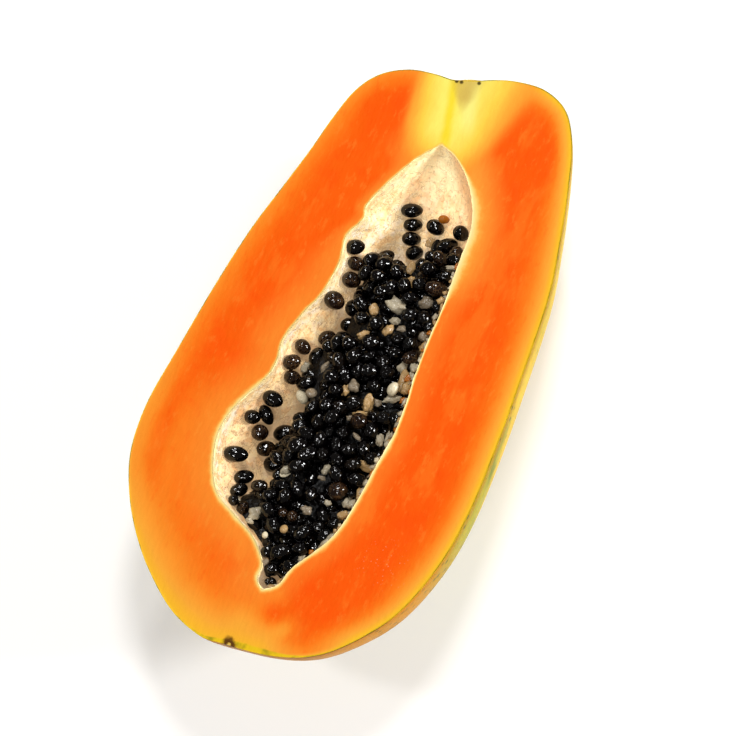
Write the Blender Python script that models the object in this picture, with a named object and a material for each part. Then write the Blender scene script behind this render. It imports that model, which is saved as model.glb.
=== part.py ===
"""Half of a ripe papaya, cut lengthwise and lying on its rind with the cut face up.

The cut face is level, the stem end points to +Y and the blossom end to -Y. The fruit is one solid
of flesh and rind, with the seeds that stick to the bare lining fused to it. The heap of seeds that
fills the rest of the hollow is the second solid.
"""

import math
import random

import bmesh
import bpy
from mathutils import Matrix, Vector
from mathutils.noise import noise

# The fruit's driving sizes, in metres
LENGTH = 0.180
WIDTH = 0.098
DEPTH = 0.0506
REST_CUT = 0.0007
SEED_LENGTH = 0.0070
SEED_WIDTH = 0.0053
SEED_SPACING = 0.0047
GAP = 0.0004

HALF_LENGTH = LENGTH / 2
HALF_WIDTH = WIDTH / 2
FACE_HEIGHT = DEPTH - REST_CUT

# Edges of the cut face from the blossom end to the stem end: (x, y) as shares of half the width and length
RIGHT_EDGE = (
    (0.00, -0.991), (0.29, -0.970), (0.53, -0.918), (0.72, -0.820), (0.87, -0.695),
    (0.965, -0.522), (0.998, -0.344), (0.988, -0.133), (0.957, 0.100), (0.912, 0.367),
    (0.837, 0.556), (0.745, 0.739), (0.66, 0.868), (0.55, 0.956), (0.39, 0.996),
    (0.22, 0.993), (0.085, 0.973), (-0.01, 0.951), (-0.06, 0.943),
)
LEFT_EDGE = (
    (0.00, -0.991), (-0.13, -0.995), (-0.34, -0.956), (-0.56, -0.869), (-0.735, -0.771),
    (-0.871, -0.663), (-0.965, -0.544), (-0.998, -0.389), (-0.971, -0.200), (-0.933, 0.022),
    (-0.880, 0.240), (-0.810, 0.415), (-0.753, 0.556), (-0.716, 0.671), (-0.659, 0.789),
    (-0.561, 0.867), (-0.41, 0.914), (-0.25, 0.928), (-0.14, 0.929), (-0.06, 0.943),
)
# The keel under the middle of the fruit: (y, z) as shares of half the length and of the depth
KEEL = (
    (-0.991, 0.0), (-0.984, -0.14), (-0.935, -0.38), (-0.835, -0.61), (-0.680, -0.80),
    (-0.440, -0.945), (-0.110, -1.0), (0.160, -0.985), (0.420, -0.905), (0.660, -0.765),
    (0.835, -0.565), (0.935, -0.33), (0.966, -0.17), (0.958, -0.05), (0.943, 0.0),
)
# The knife passed above the fruit's axis, most at the blossom end, so the rind swells out under the rim
TUCK_AT_BLOSSOM = math.radians(7)
TUCK_AT_STEM = math.radians(1)
# Five shallow ribs run along the rind, and five deeper ones stand between the lobes of the hollow
RIB_COUNT = 5
RIND_RIB_HEIGHT = 0.006
RIND_RIB_TURN = math.radians(35)
HOLLOW_RIB_HEIGHT = 0.16
HOLLOW_RIB_TURN = math.radians(35)

# Edges of the hollow in the cut face, in metres from the middle of the face
HOLLOW_RIGHT = (
    (0.0045, -0.0713), (0.0080, -0.0685), (0.0098, -0.0625), (0.0145, -0.0548), (0.0173, -0.0478),
    (0.0187, -0.0380), (0.0194, -0.0290), (0.0203, -0.0200), (0.0200, -0.0090), (0.0188, 0.0000),
    (0.0182, 0.0110), (0.0180, 0.0210), (0.0170, 0.0330), (0.0163, 0.0430), (0.0135, 0.0510),
    (0.0085, 0.0580), (0.0030, 0.0625), (-0.0020, 0.0643),
)
HOLLOW_LEFT = (
    (0.0045, -0.0713), (0.0020, -0.0690), (0.0014, -0.0645), (-0.0040, -0.0588), (-0.0120, -0.0548),
    (-0.0190, -0.0510), (-0.0235, -0.0440), (-0.0260, -0.0350), (-0.0245, -0.0260), (-0.0200, -0.0160),
    (-0.0194, -0.0100), (-0.0203, -0.0040), (-0.0180, 0.0055), (-0.0156, 0.0120), (-0.0148, 0.0220),
    (-0.0162, 0.0300), (-0.0136, 0.0365), (-0.0146, 0.0405), (-0.0112, 0.0497), (-0.0070, 0.0580),
    (-0.0020, 0.0643),
)
HOLLOW_KEEL = (
    (-0.0713, 0.0), (-0.0690, -0.0045), (-0.0620, -0.0095), (-0.0520, -0.0150), (-0.0380, -0.0195),
    (-0.0180, -0.0205), (0.0050, -0.0200), (0.0250, -0.0185), (0.0400, -0.0165), (0.0520, -0.0130),
    (0.0600, -0.0080), (0.0635, -0.0035), (0.0643, 0.0),
)

# The heap of seeds: how far left it reaches at each y, and how deep its surface lies under the cut face
HEAP_LEFT = (
    (-0.075, -0.010), (-0.058, -0.024), (-0.050, -0.0185), (-0.046, -0.0140), (-0.042, -0.0085),
    (-0.036, -0.0090), (-0.028, -0.0105), (-0.021, -0.0085), (-0.016, -0.0095), (-0.012, -0.0130),
    (-0.004, -0.0140), (0.001, -0.0115), (0.006, -0.0080), (0.013, -0.0085), (0.022, -0.0095),
    (0.028, -0.0090), (0.030, -0.0040), (0.032, 0.0055), (0.036, 0.0090), (0.042, 0.0180),
)
HEAP_DEPTH = 0.0038
HEAP_SHOULDER = 0.0080
HEAP_SHOULDER_DROP = 0.0036
HEAP_FLANK_SLOPE = 3.0
HEAP_UNEVEN = 0.0009
SEED_BEDDING = 0.0012
SMALLEST_SEED = 0.64

# Seeds that lie apart from the heap, stuck to the lining: (x, y)
STRAY_SEEDS = (
    (-0.0051, 0.0466), (-0.0038, 0.0427), (-0.0026, 0.0388), (-0.0006, 0.0346), (0.0030, 0.0444),
    (0.0108, 0.0440), (0.0072, 0.0404), (-0.0132, 0.0290), (-0.0130, 0.0240), (-0.0132, 0.0122),
    (-0.0168, -0.0020), (-0.0172, -0.0078), (-0.0183, -0.0194), (-0.0190, -0.0234), (-0.0212, -0.0264),
    (-0.0192, -0.0300), (-0.0170, -0.0326), (-0.0216, -0.0377), (-0.0172, -0.0424),
)
STRAY_BEDDING = 0.6

BUTTON_PLACE = (0.0026, -0.0880, -0.0030)
BUTTON_SIZE = (0.0022, 0.0013, 0.0017)

SHELL_ALONG, SHELL_ROUND = 38, 24
HOLLOW_ALONG, HOLLOW_ROUND = 36, 10
HEAP_CELLS_ACROSS, HEAP_CELLS_ALONG = 10, 24

FLESH_COLOUR = (0.93, 0.24, 0.03, 1.0)
SEED_COLOUR = (0.012, 0.009, 0.008, 1.0)


def clear_scene():
    for old in list(bpy.data.objects):
        bpy.data.objects.remove(old, do_unlink=True)


def plain_material(name, colour, roughness):
    material = bpy.data.materials.new(name)
    material.use_nodes = True
    shader = material.node_tree.nodes["Principled BSDF"]
    shader.inputs["Base Color"].default_value = colour
    shader.inputs["Roughness"].default_value = roughness
    shader.inputs["Metallic"].default_value = 0.0
    return material


def through(points, steps=10):
    """A smooth line through the points, as a dense list."""
    ends = [points[0], *points, points[-1]]
    line = []
    for before, start, end, after in zip(ends, ends[1:], ends[2:], ends[3:]):
        for step in range(steps):
            t = step / steps
            line.append(tuple(
                b + 0.5 * t * (c - a + t * (2 * a - 5 * b + 4 * c - d + t * (3 * b - a - 3 * c + d)))
                for a, b, c, d in zip(before, start, end, after)
            ))
    line.append(tuple(points[-1]))
    return line


class Line:
    """A smooth line that gives the point at a share of its length."""

    def __init__(self, points):
        self.points = [Vector((*p, 0.0)) for p in through(points)]
        self.reached = [0.0]
        for here, there in zip(self.points, self.points[1:]):
            self.reached.append(self.reached[-1] + (there - here).length)

    def at(self, share):
        wanted = share * self.reached[-1]
        for i in range(1, len(self.points)):
            if self.reached[i] >= wanted:
                break
        run = self.reached[i] - self.reached[i - 1]
        t = (wanted - self.reached[i - 1]) / run if run else 0.0
        point = self.points[i - 1].lerp(self.points[i], t)
        return point.x, point.y


def value_at(table, where):
    """Linear reading of a table of (place, value) rows."""
    for (low, start), (high, end) in zip(table, table[1:]):
        if where <= high:
            t = max(0.0, (where - low) / (high - low))
            return start + (end - start) * t
    return table[-1][1]


def scaled(points, across, along):
    return [(x * across, y * along) for x, y in points]


def half_tube(along, turn, right, left, keel, tuck, rib_height, rib_turn):
    """A point of a ribbed half tube hung between a right and a left edge, with its keel below them.

    along runs from one end to the other and turn from the right edge, under the keel, to the left.
    """
    right_x, right_y = right.at(along)
    left_x, left_y = left.at(along)
    keel_y, keel_z = keel.at(along)
    angle = -tuck + turn * (math.pi + 2 * tuck)
    across = math.cos(angle) / math.cos(tuck)
    under = (math.sin(angle) + math.sin(tuck)) / (1 + math.sin(tuck))
    swell = 1 + rib_height * math.cos(RIB_COUNT * (angle + rib_turn)) * math.sin(math.pi * turn)
    middle_x, middle_y = (right_x + left_x) / 2, (right_y + left_y) / 2
    return Vector((
        middle_x + (right_x - left_x) / 2 * across * swell,
        middle_y + (right_y - left_y) / 2 * across + (keel_y - middle_y) * under,
        keel_z * under * swell,
    ))


def wrapped_grid(name, cells_across, cells_along, place):
    """A grid whose cells are laid on a form: place(along, turn) gives each point."""
    bpy.ops.mesh.primitive_grid_add(x_subdivisions=cells_across, y_subdivisions=cells_along, size=2)
    made = bpy.context.object
    made.name = name
    for vertex in made.data.vertices:
        turn, along = (vertex.co.x + 1) / 2, (vertex.co.y + 1) / 2
        vertex.co = place(along, turn)
    return made


def edit(made, work):
    mesh = bmesh.new()
    mesh.from_mesh(made.data)
    work(mesh)
    mesh.to_mesh(made.data)
    mesh.free()
    return made


def close_tips(mesh):
    bmesh.ops.remove_doubles(mesh, verts=mesh.verts, dist=1e-5)


def rim_of(mesh):
    return [edge for edge in mesh.edges if edge.is_boundary]


def fruit_place():
    right = Line(scaled(RIGHT_EDGE, HALF_WIDTH, HALF_LENGTH))
    left = Line(scaled(LEFT_EDGE, HALF_WIDTH, HALF_LENGTH))
    keel = Line(scaled(KEEL, HALF_LENGTH, DEPTH))

    def place(along, turn):
        tuck = TUCK_AT_BLOSSOM + (TUCK_AT_STEM - TUCK_AT_BLOSSOM) * along
        fade = math.sin(math.pi * along)
        return half_tube(along, turn, right, left, keel, tuck * fade, RIND_RIB_HEIGHT * fade, RIND_RIB_TURN)

    return place


def hollow_place():
    right, left, keel = Line(HOLLOW_RIGHT), Line(HOLLOW_LEFT), Line(HOLLOW_KEEL)

    def place(along, turn):
        height = HOLLOW_RIB_HEIGHT * math.sin(math.pi * along)
        return half_tube(along, turn, right, left, keel, 0.0, height, HOLLOW_RIB_TURN)

    return place


def make_fruit(collection):
    """The closed half: rind form, level cut face and a small flat where it rests."""
    fruit = wrapped_grid("papaya_flesh", SHELL_ROUND, SHELL_ALONG, fruit_place())

    def finish(mesh):
        close_tips(mesh)
        bmesh.ops.holes_fill(mesh, edges=rim_of(mesh), sides=0)
        bmesh.ops.recalc_face_normals(mesh, faces=mesh.faces)
        whole = mesh.verts[:] + mesh.edges[:] + mesh.faces[:]
        floor = bmesh.ops.bisect_plane(
            mesh, geom=whole, dist=1e-7, clear_outer=True, plane_co=(0, 0, -FACE_HEIGHT), plane_no=(0, 0, -1),
        )
        cut = [part for part in floor["geom_cut"] if isinstance(part, bmesh.types.BMEdge)]
        bmesh.ops.contextual_create(mesh, geom=cut)
        bmesh.ops.recalc_face_normals(mesh, faces=mesh.faces)

    edit(fruit, finish)
    move_to(fruit, collection)
    return fruit


def make_hollow(name, collection, shrink=0.0, above=0.004):
    """The hollow as a closed solid that stands above the cut face. shrink draws its wall inwards."""
    hollow = wrapped_grid(name, HOLLOW_ROUND, HOLLOW_ALONG, hollow_place())

    def finish(mesh):
        close_tips(mesh)
        bmesh.ops.recalc_face_normals(mesh, faces=mesh.faces)
        if sum(face.normal.z * face.calc_area() for face in mesh.faces) > 0:
            bmesh.ops.reverse_faces(mesh, faces=mesh.faces)
        mesh.normal_update()
        inwards = [(vertex, vertex.normal.copy()) for vertex in mesh.verts]
        for vertex, normal in inwards:
            if vertex.is_boundary:
                normal.z = 0
                normal.normalize()
            vertex.co -= normal * shrink
        raised = bmesh.ops.extrude_edge_only(mesh, edges=rim_of(mesh))["geom"]
        top = [part for part in raised if isinstance(part, bmesh.types.BMVert)]
        bmesh.ops.translate(mesh, verts=top, vec=(0, 0, above))
        bmesh.ops.holes_fill(mesh, edges=rim_of(mesh), sides=0)
        bmesh.ops.recalc_face_normals(mesh, faces=mesh.faces)

    edit(hollow, finish)
    move_to(hollow, collection)
    return hollow


def heap_height(x, y):
    """How high the heap's surface stands at a place, counted from the cut face."""
    inside = x - value_at(HEAP_LEFT, y)
    shoulder = max(0.0, min(1.0, inside / HEAP_SHOULDER))
    height = -HEAP_DEPTH - HEAP_SHOULDER_DROP * (1 - shoulder) ** 2
    height += HEAP_UNEVEN * noise(Vector((x, y, 0)) * 160)
    return height - HEAP_FLANK_SLOPE * max(0.0, -inside)


def make_heap_core(collection, room):
    """The body of the heap under its seeds, which fits the hollow with a hair's gap."""
    low, high = Vector((-0.030, -0.076, 0)), Vector((0.024, 0.046, 0))

    def place(along, turn):
        x, y = low.x + (high.x - low.x) * turn, low.y + (high.y - low.y) * along
        return Vector((x, y, heap_height(x, y) - SEED_BEDDING))

    core = wrapped_grid("seed_heap", HEAP_CELLS_ACROSS, HEAP_CELLS_ALONG, place)

    def finish(mesh):
        sunk = bmesh.ops.extrude_edge_only(mesh, edges=rim_of(mesh))["geom"]
        for part in sunk:
            if isinstance(part, bmesh.types.BMVert):
                part.co.z = -3 * DEPTH
        bmesh.ops.holes_fill(mesh, edges=rim_of(mesh), sides=0)
        bmesh.ops.recalc_face_normals(mesh, faces=mesh.faces)

    edit(core, finish)
    move_to(core, collection)
    combine(core, "INTERSECT", room)
    return core


def add_seed(collection, place, rng, size=1.0):
    """One seed: a plump egg shape of twenty faces, lying at a random turn."""
    mesh = bmesh.new()
    bmesh.ops.create_icosphere(mesh, subdivisions=1, radius=0.5 * size)
    length, height = SEED_LENGTH * rng.uniform(0.86, 1.0), SEED_WIDTH * rng.uniform(0.88, 1.0)
    bmesh.ops.scale(mesh, verts=mesh.verts, vec=(length, SEED_WIDTH, height))
    tilt = Matrix.Rotation(math.radians(rng.uniform(-30, 30)), 3, "Y")
    bmesh.ops.rotate(mesh, verts=mesh.verts, matrix=Matrix.Rotation(rng.uniform(0, math.pi), 3, "Z") @ tilt)
    bmesh.ops.translate(mesh, verts=mesh.verts, vec=place)
    data = bpy.data.meshes.new("seed")
    mesh.to_mesh(data)
    mesh.free()
    seed = bpy.data.objects.new("seed", data)
    collection.objects.link(seed)
    return seed


def heap_places(rng):
    """Seed centres over the heap: a honeycomb of places, each pushed off its spot at random."""
    row_step = SEED_SPACING * math.sqrt(3) / 2
    for row in range(int(0.118 / row_step)):
        for column in range(int(0.050 / SEED_SPACING)):
            x = -0.027 + (column + 0.5 * (row % 2)) * SEED_SPACING + rng.uniform(-0.2, 0.2) * SEED_SPACING
            y = -0.0705 + row * row_step + rng.uniform(-0.2, 0.2) * SEED_SPACING
            lift = rng.uniform(-0.0009, 0.0011)
            if x > value_at(HEAP_LEFT, y) + 0.4 * SEED_WIDTH:
                yield Vector((x, y, heap_height(x, y) + lift))


def make_seeds(room):
    """The seeds of the heap. One near the wall of the hollow is made smaller, or left out."""
    seeds = new_collection("heap_seeds")
    rng = random.Random(7)
    for place in heap_places(rng):
        _, wall, outwards, _ = room.closest_point_on_mesh(place)
        inside = (wall - place).dot(outwards) > 0
        size = min(1.0, (wall - place).length / (SEED_LENGTH / 2))
        if inside and size > SMALLEST_SEED:
            add_seed(seeds, place, rng, size)
    return seeds


def make_strays(hollow):
    """Seeds on the bare lining, bedded a little into it."""
    strays = new_collection("stray_seeds")
    rng = random.Random(3)
    for x, y in STRAY_SEEDS:
        _, lining, downwards, _ = hollow.ray_cast(Vector((x, y, 0.001)), Vector((0, 0, -1)))
        add_seed(strays, lining - downwards * SEED_WIDTH / 2 * STRAY_BEDDING, rng)
    return strays


def make_button(collection):
    """The dried button at the blossom end."""
    bpy.ops.mesh.primitive_uv_sphere_add(segments=8, ring_count=5, radius=1)
    button = bpy.context.object
    button.scale = BUTTON_SIZE
    button.location = BUTTON_PLACE
    bpy.ops.object.transform_apply(location=True, rotation=True, scale=True)
    move_to(button, collection)
    return button


def new_collection(name):
    collection = bpy.data.collections.new(name)
    bpy.context.scene.collection.children.link(collection)
    return collection


def move_to(made, collection):
    for old in list(made.users_collection):
        old.objects.unlink(made)
    collection.objects.link(made)


def combine(body, operation, other):
    """One applied Boolean on the body. A collection that is joined to it is then removed.

    The MANIFOLD solver is used because the EXACT one leaves the uneven quads of the hollow open.
    """
    modifier = body.modifiers.new(operation.lower(), "BOOLEAN")
    modifier.operation = operation
    modifier.solver = "MANIFOLD"
    if isinstance(other, bpy.types.Collection):
        modifier.operand_type = "COLLECTION"
        modifier.collection = other
    else:
        modifier.object = other
    result = bpy.data.meshes.new_from_object(body.evaluated_get(bpy.context.evaluated_depsgraph_get()))
    body.modifiers.clear()
    body.data = result
    if isinstance(other, bpy.types.Collection):
        for piece in list(other.objects):
            bpy.data.objects.remove(piece)
        bpy.data.collections.remove(other)


def keep_largest(made):
    """Drops the scraps that trimming leaves loose beside the body."""
    def work(mesh):
        unseen, groups = set(mesh.verts), []
        while unseen:
            group, edge = set(), [unseen.pop()]
            while edge:
                vertex = edge.pop()
                group.add(vertex)
                for link in vertex.link_edges:
                    other = link.other_vert(vertex)
                    if other in unseen:
                        unseen.discard(other)
                        edge.append(other)
            groups.append(group)
        groups.sort(key=len)
        for scrap in groups[:-1]:
            bmesh.ops.delete(mesh, geom=list(scrap), context="VERTS")

    return edit(made, work)


def middle_of(made, axis):
    places = [vertex.co[axis] for vertex in made.data.vertices]
    return (min(places) + max(places)) / 2


def finish_node(made, material, stand):
    made.data.materials.clear()
    made.data.materials.append(material)
    made.data.shade_smooth()
    made.data.set_sharp_from_angle(angle=math.radians(40))
    made.location = stand


def main():
    clear_scene()
    papaya = new_collection("papaya_half")
    helpers = new_collection("helpers")
    hollow = make_hollow("hollow_cutter", helpers)
    room = make_hollow("seed_room", helpers, shrink=GAP, above=0.006)
    bpy.context.view_layer.update()

    flesh = make_fruit(papaya)
    combine(flesh, "DIFFERENCE", hollow)
    combine(flesh, "UNION", make_strays(hollow))
    combine(flesh, "UNION", make_button(helpers))
    keep_largest(flesh)

    heap = make_heap_core(papaya, room)
    combine(heap, "UNION", make_seeds(room))
    keep_largest(heap)

    for helper in list(helpers.objects):
        bpy.data.objects.remove(helper)
    stand = Vector((-middle_of(flesh, 0), -middle_of(flesh, 1), FACE_HEIGHT))
    finish_node(flesh, plain_material("flesh", FLESH_COLOUR, 0.35), stand)
    finish_node(heap, plain_material("seeds", SEED_COLOUR, 0.15), stand)


main()
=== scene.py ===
"""The look of a papaya half: ripe flesh, waxy rind, a pale fibrous lining and glossy black seeds."""

import math
import random

import bmesh
import bpy
import numpy as np
from mathutils import Matrix, Vector
from mathutils.bvhtree import BVHTree
from mathutils.noise import noise


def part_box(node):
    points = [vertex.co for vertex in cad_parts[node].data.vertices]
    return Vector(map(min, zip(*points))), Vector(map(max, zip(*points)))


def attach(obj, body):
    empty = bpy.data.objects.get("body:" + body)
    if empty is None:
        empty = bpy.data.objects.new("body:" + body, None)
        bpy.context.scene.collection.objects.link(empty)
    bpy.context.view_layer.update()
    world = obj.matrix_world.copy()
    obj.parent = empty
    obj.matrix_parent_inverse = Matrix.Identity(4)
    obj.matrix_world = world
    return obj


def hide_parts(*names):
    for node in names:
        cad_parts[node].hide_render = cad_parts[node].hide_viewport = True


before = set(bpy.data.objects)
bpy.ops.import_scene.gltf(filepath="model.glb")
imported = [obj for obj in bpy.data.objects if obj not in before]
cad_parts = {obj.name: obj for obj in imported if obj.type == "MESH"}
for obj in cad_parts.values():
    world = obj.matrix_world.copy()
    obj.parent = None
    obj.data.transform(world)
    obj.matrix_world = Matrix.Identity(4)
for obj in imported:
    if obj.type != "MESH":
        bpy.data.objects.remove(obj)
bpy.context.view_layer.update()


# The table, lights and camera. A white table under soft lights, seen from above and a little from
# the blossom end, with the fruit's long axis leaning to the right in the picture.
FACE_MIDDLE = Vector((0.0, -0.0001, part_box("papaya_flesh")[1][2]))
CAMERA_DISTANCE = 0.9
CAMERA_BACK = Vector((0.2924, -0.2079, 0.9334)).normalized()
CAMERA_UP = Vector((-0.3407, 0.8894, 0.3048))
CAMERA_AIM = FACE_MIDDLE + Vector((0.00568, -0.00321, 0))
CAMERA_LENS, SENSOR_WIDTH = 159.4, 36


def move_in(name, data):
    made = bpy.data.objects.new(name, data)
    bpy.context.scene.collection.objects.link(made)
    return made


def aimed(back, up=Vector((0, 1, 0))):
    right = up.cross(back).normalized()
    return Matrix((right, back.cross(right), back)).transposed().to_4x4()


camera = move_in("camera", bpy.data.cameras.new("camera"))
camera.data.lens = CAMERA_LENS
camera.data.sensor_width = SENSOR_WIDTH
camera.data.clip_start = 0.01
camera_stand = Matrix.Translation(CAMERA_AIM + CAMERA_BACK * CAMERA_DISTANCE)
camera.matrix_world = camera_stand @ aimed(CAMERA_BACK, CAMERA_UP)
bpy.context.scene.camera = camera


def soft_light(name, direction, distance, size, power):
    lamp = bpy.data.lights.new(name, "AREA")
    lamp.shape = "DISK"
    lamp.size = size
    lamp.energy = power
    direction = Vector(direction).normalized()
    stand = Matrix.Translation(FACE_MIDDLE + direction * distance)
    move_in(name, lamp).matrix_world = stand @ aimed(direction)


soft_light("front_light", (0.05, 0.40, 0.92), 1.3, 0.26, 9.0)
soft_light("right_light", (0.88, 0.28, 0.38), 1.3, 0.28, 17.0)
soft_light("low_light", (0.25, -0.50, 0.85), 1.6, 0.26, 7.0)
soft_light("left_light", (-0.55, -0.30, 0.85), 1.3, 0.16, 4.0)
soft_light("back_light", (-0.25, 0.75, 0.75), 1.3, 0.16, 3.5)

bpy.context.scene.view_settings.view_transform = "Standard"
world = bpy.data.worlds.new("pale_room")
world.use_nodes = True
room_light = world.node_tree.nodes["Background"]
room_light.inputs["Color"].default_value = (1, 0.93, 0.84, 1)
room_light.inputs["Strength"].default_value = 0.17
bpy.context.scene.world = world

table_mesh = bmesh.new()
bmesh.ops.create_grid(table_mesh, x_segments=1, y_segments=1, size=3.0)
table = move_in("table", bpy.data.meshes.new("table"))
table_mesh.to_mesh(table.data)
table_mesh.free()
table_paint = bpy.data.materials.new("table_white")
table_paint.use_nodes = True
table_shader = table_paint.node_tree.nodes["Principled BSDF"]
table_shader.inputs["Base Color"].default_value = (0.72, 0.71, 0.70, 1)
table_shader.inputs["Roughness"].default_value = 0.9
table_shader.inputs["Emission Color"].default_value = (1, 1, 1, 1)
table_shader.inputs["Emission Strength"].default_value = 0.20
table.data.materials.append(table_paint)


# The half fruit. A thin waxy rind, thick soft flesh and a pale fibrous lining round the hollow, all
# one piece, with the cut face level. The rind, the face and the lining each have their own surface.
HALF_LENGTH, HALF_WIDTH, DEPTH = 0.090, 0.049, 0.0506
RIGHT_EDGE = (
    (0.00, -0.991), (0.29, -0.970), (0.53, -0.918), (0.72, -0.820), (0.87, -0.695),
    (0.965, -0.522), (0.998, -0.344), (0.988, -0.133), (0.957, 0.100), (0.912, 0.367),
    (0.837, 0.556), (0.745, 0.739), (0.66, 0.868), (0.55, 0.956), (0.39, 0.996),
    (0.22, 0.993), (0.085, 0.973), (-0.01, 0.951), (-0.06, 0.943),
)
LEFT_EDGE = (
    (0.00, -0.991), (-0.13, -0.995), (-0.34, -0.956), (-0.56, -0.869), (-0.735, -0.771),
    (-0.871, -0.663), (-0.965, -0.544), (-0.998, -0.389), (-0.971, -0.200), (-0.933, 0.022),
    (-0.880, 0.240), (-0.810, 0.415), (-0.753, 0.556), (-0.716, 0.671), (-0.659, 0.789),
    (-0.561, 0.867), (-0.41, 0.914), (-0.25, 0.928), (-0.14, 0.929), (-0.06, 0.943),
)
KEEL = (
    (-0.991, 0.0), (-0.984, -0.14), (-0.935, -0.38), (-0.835, -0.61), (-0.680, -0.80),
    (-0.440, -0.945), (-0.110, -1.0), (0.160, -0.985), (0.420, -0.905), (0.660, -0.765),
    (0.835, -0.565), (0.935, -0.33), (0.966, -0.17), (0.958, -0.05), (0.943, 0.0),
)
HOLLOW_RIGHT = (
    (0.0045, -0.0713), (0.0080, -0.0685), (0.0098, -0.0625), (0.0145, -0.0548), (0.0173, -0.0478),
    (0.0187, -0.0380), (0.0194, -0.0290), (0.0203, -0.0200), (0.0200, -0.0090), (0.0188, 0.0000),
    (0.0182, 0.0110), (0.0180, 0.0210), (0.0170, 0.0330), (0.0163, 0.0430), (0.0135, 0.0510),
    (0.0085, 0.0580), (0.0030, 0.0625), (-0.0020, 0.0643),
)
HOLLOW_LEFT = (
    (0.0045, -0.0713), (0.0020, -0.0690), (0.0014, -0.0645), (-0.0040, -0.0588), (-0.0120, -0.0548),
    (-0.0190, -0.0510), (-0.0235, -0.0440), (-0.0260, -0.0350), (-0.0245, -0.0260), (-0.0200, -0.0160),
    (-0.0194, -0.0100), (-0.0203, -0.0040), (-0.0180, 0.0055), (-0.0156, 0.0120), (-0.0148, 0.0220),
    (-0.0162, 0.0300), (-0.0136, 0.0365), (-0.0146, 0.0405), (-0.0112, 0.0497), (-0.0070, 0.0580),
    (-0.0020, 0.0643),
)
HOLLOW_KEEL = (
    (-0.0713, 0.0), (-0.0690, -0.0045), (-0.0620, -0.0095), (-0.0520, -0.0150), (-0.0380, -0.0195),
    (-0.0180, -0.0205), (0.0050, -0.0200), (0.0250, -0.0185), (0.0400, -0.0165), (0.0520, -0.0130),
    (0.0600, -0.0080), (0.0635, -0.0035), (0.0643, 0.0),
)
TUCK_AT_BLOSSOM, TUCK_AT_STEM = math.radians(7), math.radians(1)
RIB_COUNT, RIB_TURN = 5, math.radians(35)
RIND_RIB_HEIGHT, HOLLOW_RIB_HEIGHT = 0.006, 0.16
ALONG, ROUND_RIND, ROUND_HOLLOW, FACE_RINGS = 200, 72, 44, 26
EDGE_ROUNDING, LINING_FOLDS, FACE_DIPS = 0.00025, 0.0003, 0.00012


def through(points, steps=10):
    ends = [points[0], *points, points[-1]]
    line = []
    for before, start, end, after in zip(ends, ends[1:], ends[2:], ends[3:]):
        for step in range(steps):
            t = step / steps
            line.append(tuple(
                b + 0.5 * t * (c - a + t * (2 * a - 5 * b + 4 * c - d + t * (3 * b - a - 3 * c + d)))
                for a, b, c, d in zip(before, start, end, after)
            ))
    line.append(tuple(points[-1]))
    return line


class Line:
    """A smooth line that gives the point at a share of its length."""

    def __init__(self, points, across=1.0, along=1.0):
        self.points = np.array(through([(x * across, y * along) for x, y in points]))
        steps = np.linalg.norm(np.diff(self.points, axis=0), axis=1)
        self.shares = np.concatenate(([0.0], np.cumsum(steps))) / steps.sum()

    def at(self, share):
        return (
            float(np.interp(share, self.shares, self.points[:, 0])),
            float(np.interp(share, self.shares, self.points[:, 1])),
        )


def half_tube(along, turn, right, left, keel, tuck, rib_height):
    """A point of a ribbed half tube hung between a right and a left edge, with its keel below them."""
    right_x, right_y = right.at(along)
    left_x, left_y = left.at(along)
    keel_y, keel_z = keel.at(along)
    angle = -tuck + turn * (math.pi + 2 * tuck)
    across = math.cos(angle) / math.cos(tuck)
    under = (math.sin(angle) + math.sin(tuck)) / (1 + math.sin(tuck))
    swell = 1 + rib_height * math.cos(RIB_COUNT * (angle + RIB_TURN)) * math.sin(math.pi * turn)
    middle_x, middle_y = (right_x + left_x) / 2, (right_y + left_y) / 2
    return FACE_MIDDLE + Vector((
        middle_x + (right_x - left_x) / 2 * across * swell,
        middle_y + (right_y - left_y) / 2 * across + (keel_y - middle_y) * under,
        keel_z * under * swell,
    ))


rind_lines = (
    Line(RIGHT_EDGE, HALF_WIDTH, HALF_LENGTH), Line(LEFT_EDGE, HALF_WIDTH, HALF_LENGTH),
    Line(KEEL, HALF_LENGTH, DEPTH),
)
hollow_lines = (Line(HOLLOW_RIGHT), Line(HOLLOW_LEFT), Line(HOLLOW_KEEL))


def rind_place(along, turn):
    fade = math.sin(math.pi * along)
    tuck = TUCK_AT_BLOSSOM + (TUCK_AT_STEM - TUCK_AT_BLOSSOM) * along
    place = half_tube(along, turn, *rind_lines, tuck * fade, RIND_RIB_HEIGHT * fade)
    place.z = max(place.z, 0.0)
    return place


def hollow_place(along, turn):
    return half_tube(along, turn, *hollow_lines, 0.0, HOLLOW_RIB_HEIGHT * math.sin(math.pi * along))


def face_place(along, turn):
    """along goes up the face's right side and down its left, and turn from the rind to the hollow."""
    side, share = (0, 2 * along) if along <= 0.5 else (1, 2 - 2 * along)
    outer, inner = Vector(rind_lines[side].at(share)), Vector(hollow_lines[side].at(share))
    return FACE_MIDDLE + outer.lerp(inner, 0.5 * turn + 0.25 * (1 - math.cos(math.pi * turn))).to_3d()


def lay_grid(mesh, across, along, place, slot):
    """A grid of cells laid on a form, with a material slot."""
    made = bmesh.ops.create_grid(mesh, x_segments=across, y_segments=along, size=1)["verts"]
    for vertex in made:
        vertex.co = place((vertex.co.y + 1) / 2, (vertex.co.x + 1) / 2)
    for face in {face for vertex in made for face in vertex.link_faces}:
        face.material_index = slot
        face.smooth = True
    return made


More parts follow.
